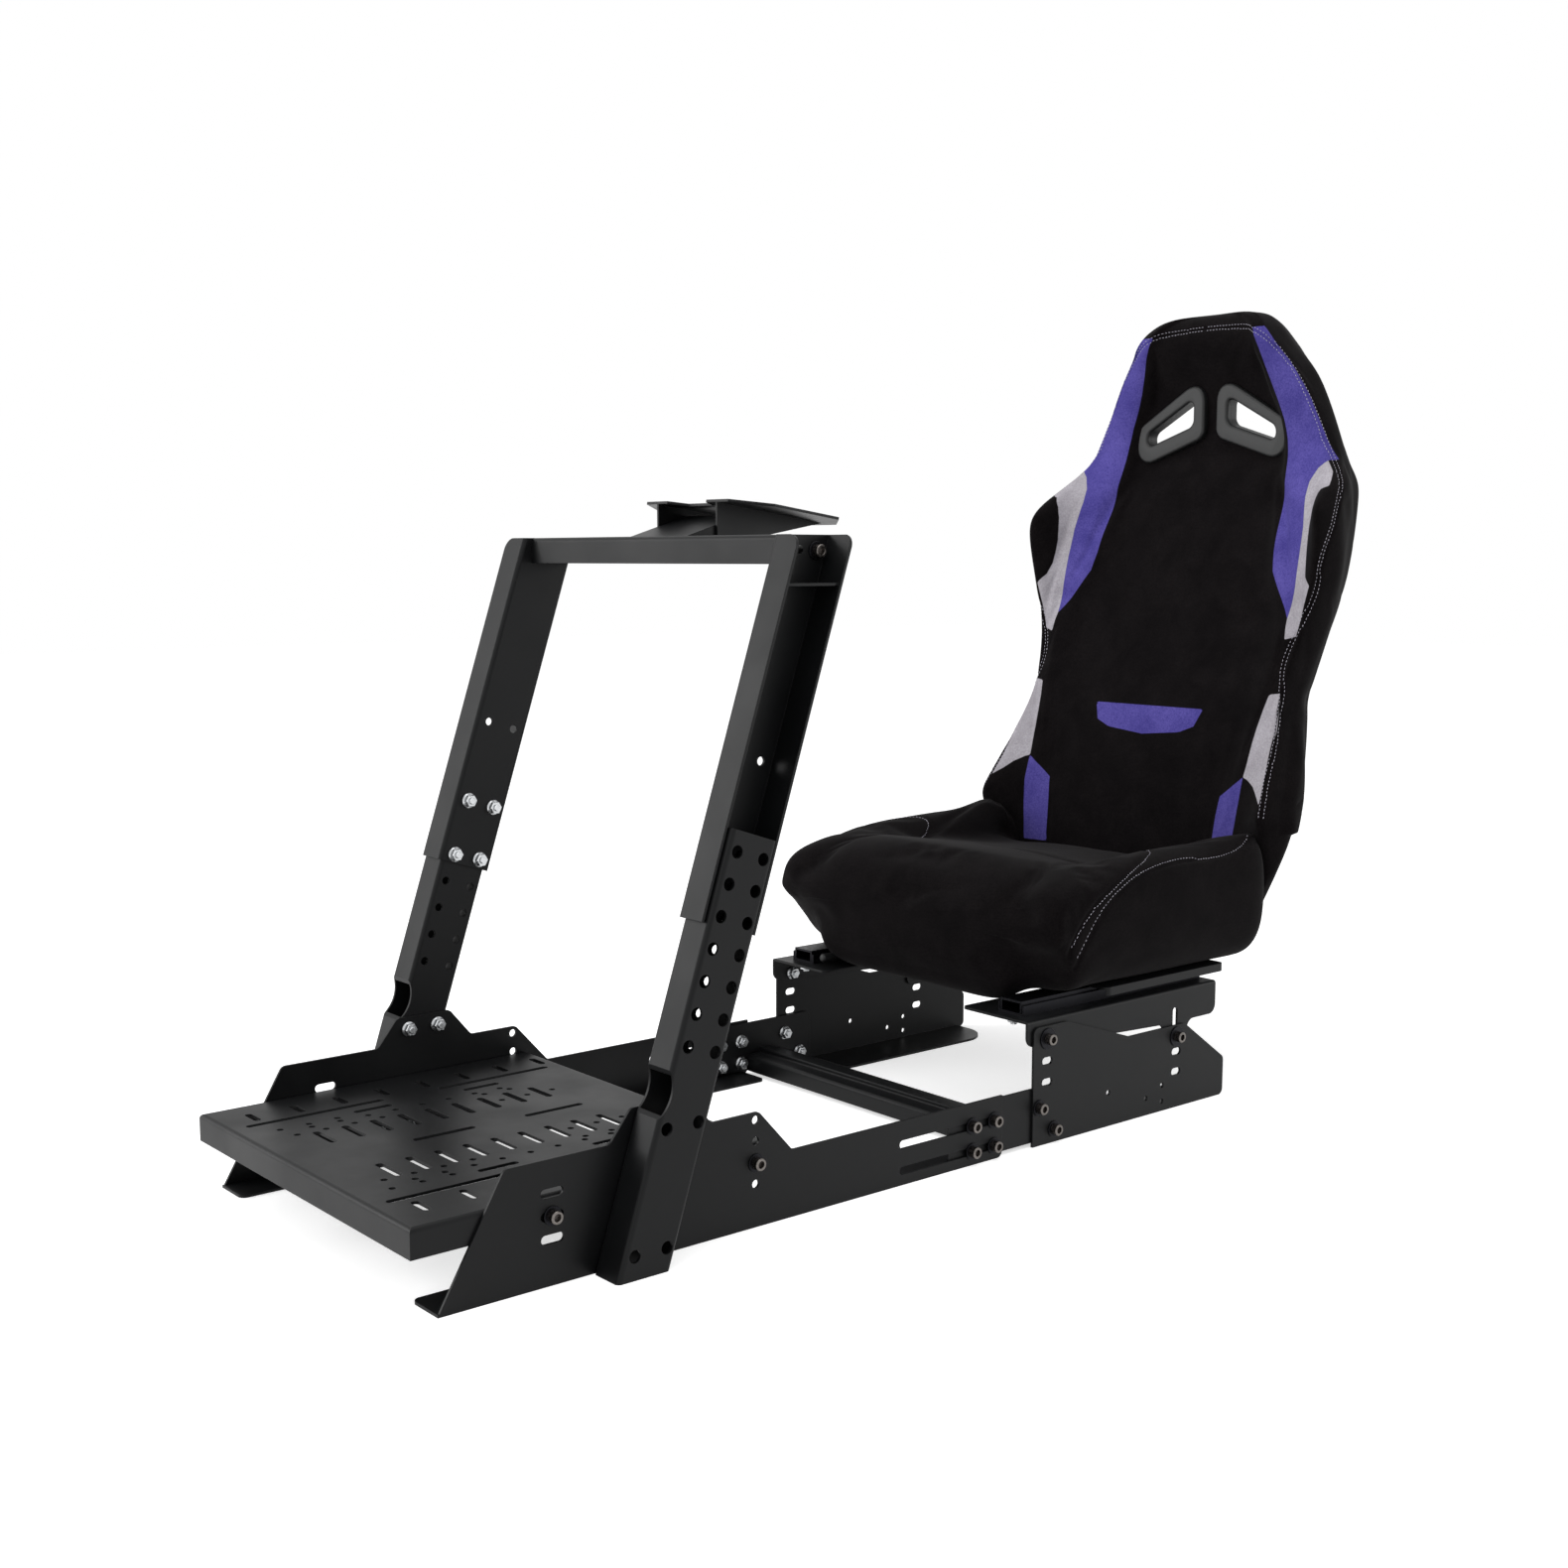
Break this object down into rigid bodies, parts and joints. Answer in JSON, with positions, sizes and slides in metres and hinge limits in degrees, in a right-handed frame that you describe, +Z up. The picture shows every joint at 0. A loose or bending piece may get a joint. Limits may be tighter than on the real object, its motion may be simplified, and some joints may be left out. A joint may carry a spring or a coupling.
{
  "type": "sim racing cockpit",
  "caption": "Sim racing cockpit: black folded-steel frame with slotted pedal deck, leaning wheel posts, and a black bucket seat with purple and grey panels on slides.",
  "frame": {"origin": "on the floor under the middle of the cockpit's outline", "axes": "+X to the driver's left, +Y towards the back of the seat (the driver faces -Y, the pedals), +Z up"},
  "size_m": [0.54, 1.452, 1],
  "materials": {
    "black_powder_coat": "satin",
    "zinc_steel": "satin",
    "black_suede": "matte",
    "black_plastic": "satin",
    "grey_rubber": "matte"
  },
  "bodies": {
    "frame": {"left_front_side_plate": "black_powder_coat", "right_front_side_plate": "black_powder_coat", "pedal_deck": "black_powder_coat", "left_lower_upright": "black_powder_coat", "right_lower_upright": "black_powder_coat", "left_upper_upright": "black_powder_coat", "right_upper_upright": "black_powder_coat", "wheel_crossbar": "black_powder_coat", "wheel_deck_support": "black_powder_coat", "wheel_deck": "black_powder_coat", "left_mid_plate": "black_powder_coat", "right_mid_plate": "black_powder_coat", "cross_member": "black_powder_coat", "left_seat_side_plate": "black_powder_coat", "right_seat_side_plate": "black_powder_coat", "left_seat_bracket": "black_powder_coat", "right_seat_bracket": "black_powder_coat", "left_lower_slide": "zinc_steel", "right_lower_slide": "zinc_steel"},
    "seat": {"left_upper_slide": "zinc_steel", "right_upper_slide": "zinc_steel", "seat_base": "black_powder_coat", "seat_cushion": "black_suede", "left_cushion_bolster": "black_suede", "right_cushion_bolster": "black_suede", "seat_back": "black_suede", "left_back_bolster": "black_suede", "right_back_bolster": "black_suede", "left_harness_bezel": "black_plastic", "right_harness_bezel": "black_plastic"},
    "lever": {"slider_lever": "black_powder_coat", "lever_grip": "grey_rubber"}
  },
  "joints": [
    {"name": "seat_slide", "type": "slide", "parent": "frame", "child": "seat", "axis": [0, 1, 0], "range_m": [-0.08, 0.08]},
    {"name": "slider_lever", "type": "hinge", "parent": "seat", "child": "lever", "pos_m": [-0.15, 0.204, 0.1567], "axis": [-1, 0, 0], "range_deg": [0, 8], "stiffness_Nm_per_rad": 0.6, "springref_deg": -14.32}
  ]
}
